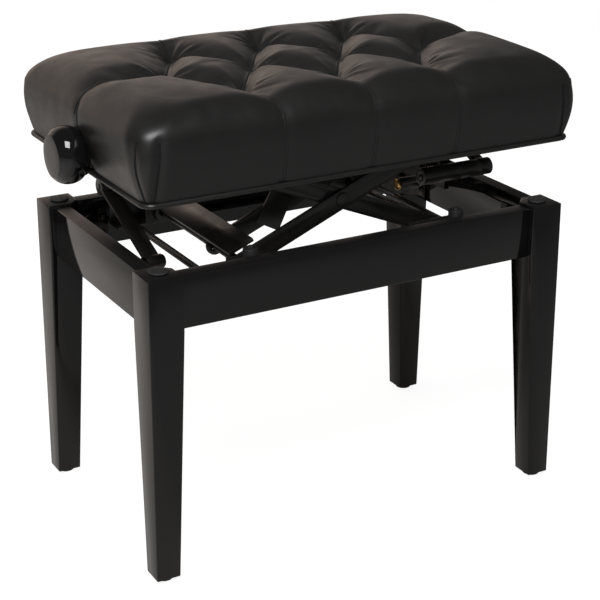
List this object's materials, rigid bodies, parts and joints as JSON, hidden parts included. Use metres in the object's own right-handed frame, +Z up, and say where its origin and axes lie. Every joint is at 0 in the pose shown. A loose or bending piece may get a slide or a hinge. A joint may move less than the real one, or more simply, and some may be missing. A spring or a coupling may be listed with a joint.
{
  "type": "piano bench",
  "caption": "Height-adjustable piano bench: gloss black wooden frame with tapered legs, steel scissor lift on a hand-turned spindle and a tufted black leather seat.",
  "frame": {"origin": "on the floor below the middle of the seat", "axes": "+X along the length of the seat towards the right-hand knob as seen by the sitter facing the keyboard, +Y towards the back, +Z up"},
  "size_m": [0.637, 0.348, 0.5558],
  "materials": {
    "lacquer": "gloss black lacquer",
    "steel_paint": "satin black powder coat",
    "zinc_steel": "black zinc plated",
    "brass": "machined",
    "rubber": "matt black",
    "knob_plastic": "gloss black",
    "plywood": "bare plywood",
    "foam": "open foam",
    "leather": "soft satin grain"
  },
  "bodies": {
    "base": {"leg_front_left": "lacquer", "leg_front_right": "lacquer", "leg_back_left": "lacquer", "leg_back_right": "lacquer", "apron_front": "lacquer", "apron_back": "lacquer", "apron_left": "lacquer", "apron_right": "lacquer", "foot_glide_front_left": "rubber", "foot_glide_front_right": "rubber", "foot_glide_back_left": "rubber", "foot_glide_back_right": "rubber", "leg_buffer_front_left": "rubber", "leg_buffer_front_right": "rubber", "leg_buffer_back_left": "rubber", "leg_buffer_back_right": "rubber", "stop_post_front_left": "rubber", "stop_post_front_right": "rubber", "stop_post_back_left": "rubber", "stop_post_back_right": "rubber", "corner_bracket_front_left": "zinc_steel", "corner_bracket_front_right": "zinc_steel", "corner_bracket_back_left": "zinc_steel", "corner_bracket_back_right": "zinc_steel", "lower_rail_front": "steel_paint", "lower_rail_back": "steel_paint", "cross_plate_right": "steel_paint", "cross_tie_left": "steel_paint", "knee_foot_stud_left": "zinc_steel", "knee_foot_stud_right": "zinc_steel", "lower_pivot_shaft": "zinc_steel"},
    "arms_a": {"arm_a_front": "steel_paint", "arm_a_back": "steel_paint", "lift_yoke": "steel_paint", "upper_slide_shaft": "zinc_steel"},
    "arms_c": {"arm_c_front": "steel_paint", "arm_c_back": "steel_paint", "lower_slide_shaft": "zinc_steel"},
    "seat": {"seat_rim_front": "plywood", "seat_rim_back": "plywood", "seat_rim_left": "plywood", "seat_rim_right": "plywood", "seat_board": "plywood", "seat_foam": "foam", "seat_cover": "leather", "seat_piping": "leather", "upper_rail_front": "steel_paint", "upper_rail_back": "steel_paint", "upper_pivot_shaft": "zinc_steel", "knee_seat_stud_left": "zinc_steel", "knee_seat_stud_right": "zinc_steel"},
    "nut": {"nut_block": "brass"},
    "spindle": {"spindle": "zinc_steel", "knob_left": "knob_plastic", "knob_right": "knob_plastic"},
    "knee_lower_left": {"knee_lower_leaf_left": "steel_paint"},
    "knee_lower_right": {"knee_lower_leaf_right": "steel_paint"},
    "knee_upper_left": {"knee_upper_leaf_left": "steel_paint"},
    "knee_upper_right": {"knee_upper_leaf_right": "steel_paint"}
  },
  "joints": [
    {"name": "lift", "type": "hinge", "parent": "base", "child": "arms_a", "pos_m": [-0.13221, 0, 0.345], "axis": [0, -1, 0], "range_deg": [-15.6, 10.4]},
    {"name": "scissor", "type": "hinge", "parent": "arms_a", "child": "arms_c", "pos_m": [0, 0, 0.39949], "axis": [0, -1, 0], "range_deg": [-21.2, 31.6]},
    {"name": "seat_pivot", "type": "hinge", "parent": "arms_c", "child": "seat", "pos_m": [-0.13221, 0, 0.45399], "axis": [0, -1, 0], "range_deg": [-15.8, 10.6]},
    {"name": "nut_pivot", "type": "hinge", "parent": "arms_a", "child": "nut", "pos_m": [0.13221, 0, 0.45399], "axis": [0, -1, 0], "range_deg": [-10.6, 15.8]},
    {"name": "spindle_turn", "type": "hinge", "parent": "seat", "child": "spindle", "pos_m": [0, -0.015, 0.474], "axis": [1, 0, 0], "range_deg": [-1191.95, 799.66]},
    {"name": "knee_foot_left", "type": "hinge", "parent": "base", "child": "knee_lower_left", "pos_m": [-0.197, -0.05521, 0.345], "axis": [1, 0, 0], "range_deg": [-15.8, 10.6]},
    {"name": "knee_knuckle_left", "type": "hinge", "parent": "knee_lower_left", "child": "knee_upper_left", "pos_m": [-0.197, 0.077, 0.39949], "axis": [1, 0, 0], "range_deg": [-21.2, 31.6]},
    {"name": "knee_foot_right", "type": "hinge", "parent": "base", "child": "knee_lower_right", "pos_m": [0.197, 0.05521, 0.345], "axis": [-1, 0, 0], "range_deg": [-15.8, 10.6]},
    {"name": "knee_knuckle_right", "type": "hinge", "parent": "knee_lower_right", "child": "knee_upper_right", "pos_m": [0.197, -0.077, 0.39949], "axis": [-1, 0, 0], "range_deg": [-21.2, 31.6]}
  ],
  "couplings": [
    {"joint": "scissor", "follows": "lift", "ratio": -2},
    {"joint": "seat_pivot", "follows": "lift", "ratio": 1},
    {"joint": "nut_pivot", "follows": "lift", "ratio": -1},
    {"joint": "spindle_turn", "follows": "lift", "ratio": 75.44},
    {"joint": "knee_foot_left", "follows": "lift", "ratio": 1},
    {"joint": "knee_knuckle_left", "follows": "lift", "ratio": -2},
    {"joint": "knee_foot_right", "follows": "lift", "ratio": 1},
    {"joint": "knee_knuckle_right", "follows": "lift", "ratio": -2}
  ]
}
